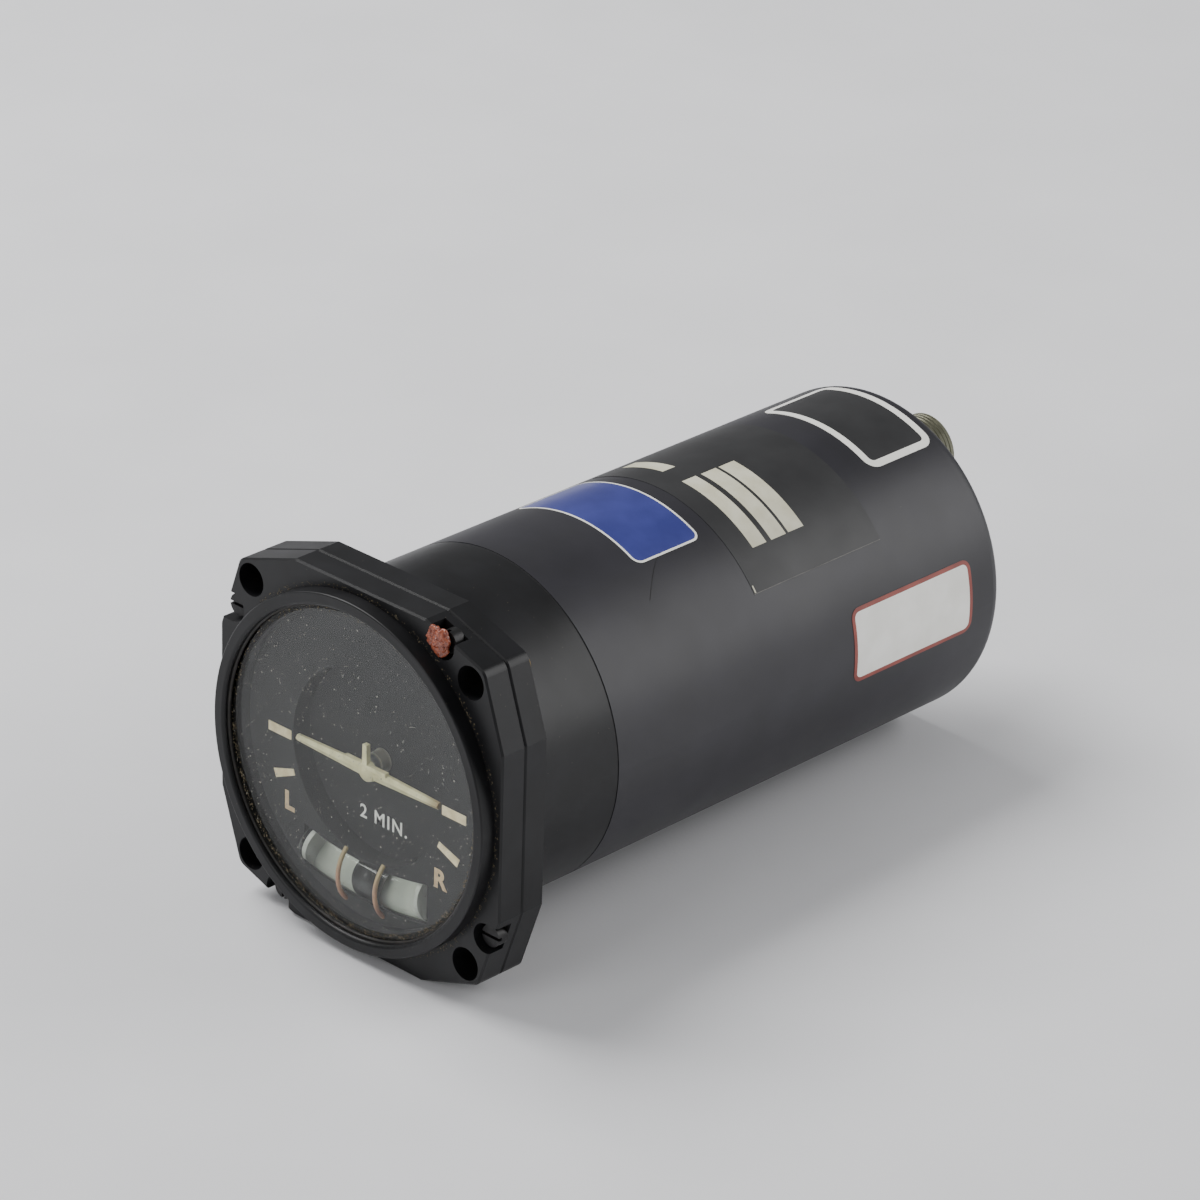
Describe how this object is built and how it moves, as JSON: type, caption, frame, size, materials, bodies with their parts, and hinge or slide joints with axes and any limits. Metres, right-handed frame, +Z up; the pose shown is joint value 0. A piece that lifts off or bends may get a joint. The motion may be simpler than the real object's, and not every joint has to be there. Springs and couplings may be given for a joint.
{
  "type": "turn coordinator",
  "caption": "Round panel instrument with a square flanged front, a banking aeroplane pointer over a ball inclinometer, and a canted rate gyro in a long can.",
  "frame": {"origin": "centre of the front flange's panel face, on the axis of the round case", "axes": "dial faces -Y, the case and its rear connector run back along +Y, +Z is up on the dial"},
  "size_m": [0.0812, 0.1772, 0.0812],
  "materials": {
    "case_black": "satin black enamel on cast aluminium",
    "can_black": "satin black enamel on a drawn steel can",
    "screw_black": "blackened steel",
    "brass": "dull brass",
    "lacquer": "red-brown sealing lacquer",
    "window_glass": "flat clear glass",
    "tube_glass": "clear drawn glass tube",
    "rubber": "black rubber",
    "dial_black": "matt black paint on aluminium",
    "cream_paint": "cream paint",
    "pointer_cream": "cream lacquered aluminium",
    "white_enamel": "white enamel",
    "plug_white": "white plastic",
    "ball_black": "polished black",
    "wire_brown": "lacquered wire",
    "spring_wire": "blackened spring steel",
    "aluminium": "machined",
    "sleeve_grey": "light grey moulded sleeve",
    "steel": "bright steel",
    "bronze": "sintered bronze",
    "rotor_metal": "turned heavy brass",
    "magnet": "magnet steel",
    "copper": "copper bars",
    "phenolic": "brown phenolic",
    "shell_olive": "olive drab plated aluminium",
    "insert_black": "moulded insulator",
    "gold": "gold-plated contacts",
    "board_green": "glass-epoxy board",
    "capacitor_blue": "sleeved capacitor",
    "lead_red": "insulated wire"
  },
  "bodies": {
    "case": {"bezel_frame": "case_black", "bezel_screws": "screw_black", "seal_lacquer": "lacquer", "front_glass": "window_glass", "glass_gasket": "rubber", "glass_retaining_ring": "spring_wire", "dial_plate": "dial_black", "dial_marks": "cream_paint", "inclinometer_tube": "tube_glass", "inclinometer_plugs": "plug_white", "inclinometer_trough": "white_enamel", "inclinometer_wires": "wire_brown", "front_housing": "case_black", "mounting_nuts": "brass", "case_gasket": "rubber", "rear_can": "can_black", "front_plate": "aluminium", "front_plate_screws": "steel", "frame_posts": "aluminium", "rear_plate": "aluminium", "rear_plate_screws": "steel", "spindle_sleeve": "sleeve_grey", "spindle_bushes": "bronze", "pivot_bearings": "steel", "front_pivot_boss": "aluminium", "rear_pivot_boss": "aluminium", "centring_hairspring": "bronze", "damper_cup": "aluminium", "connector_shell": "shell_olive", "connector_gasket": "rubber", "connector_screws": "steel", "connector_insert": "insert_black", "connector_contacts": "gold", "can_standoffs": "aluminium", "can_screws": "screw_black", "circuit_board": "board_green", "connector_leads": "lead_red", "filter_capacitor": "capacitor_blue"},
    "pointer": {"pointer_spindle": "aluminium", "miniature_aeroplane": "pointer_cream", "pointer_fork": "aluminium"},
    "ball": {"inclinometer_ball": "ball_black"},
    "gimbal": {"gimbal_frame": "aluminium", "gimbal_pivots": "steel", "drive_pin": "steel", "damper_disc": "aluminium", "rotor_bearings": "steel", "motor_magnet": "magnet", "brush_gear": "phenolic"},
    "rotor": {"gyro_rotor": "rotor_metal", "rotor_shaft": "steel", "commutator": "copper"}
  },
  "joints": [
    {"name": "gimbal_tilt", "type": "hinge", "parent": "case", "child": "gimbal", "pos_m": [0, 0.075, 0], "axis": [0, -0.866, 0.5], "range_deg": [-12, 12], "stiffness_Nm_per_rad": 0.05},
    {"name": "rotor_spin", "type": "hinge", "parent": "gimbal", "child": "rotor", "pos_m": [0, 0.075, 0], "axis": [1, 0, 0], "continuous": true},
    {"name": "pointer_turn", "type": "hinge", "parent": "case", "child": "pointer", "pos_m": [0, 0, 0], "axis": [0, -1, 0], "range_deg": [-29.04, 29.04]},
    {"name": "ball_roll", "type": "hinge", "parent": "case", "child": "ball", "pos_m": [0, 0.00495, 0.0502], "axis": [0, -1, 0], "range_deg": [-8, 8]}
  ],
  "couplings": [
    {"joint": "pointer_turn", "follows": "gimbal_tilt", "ratio": 2.42}
  ]
}
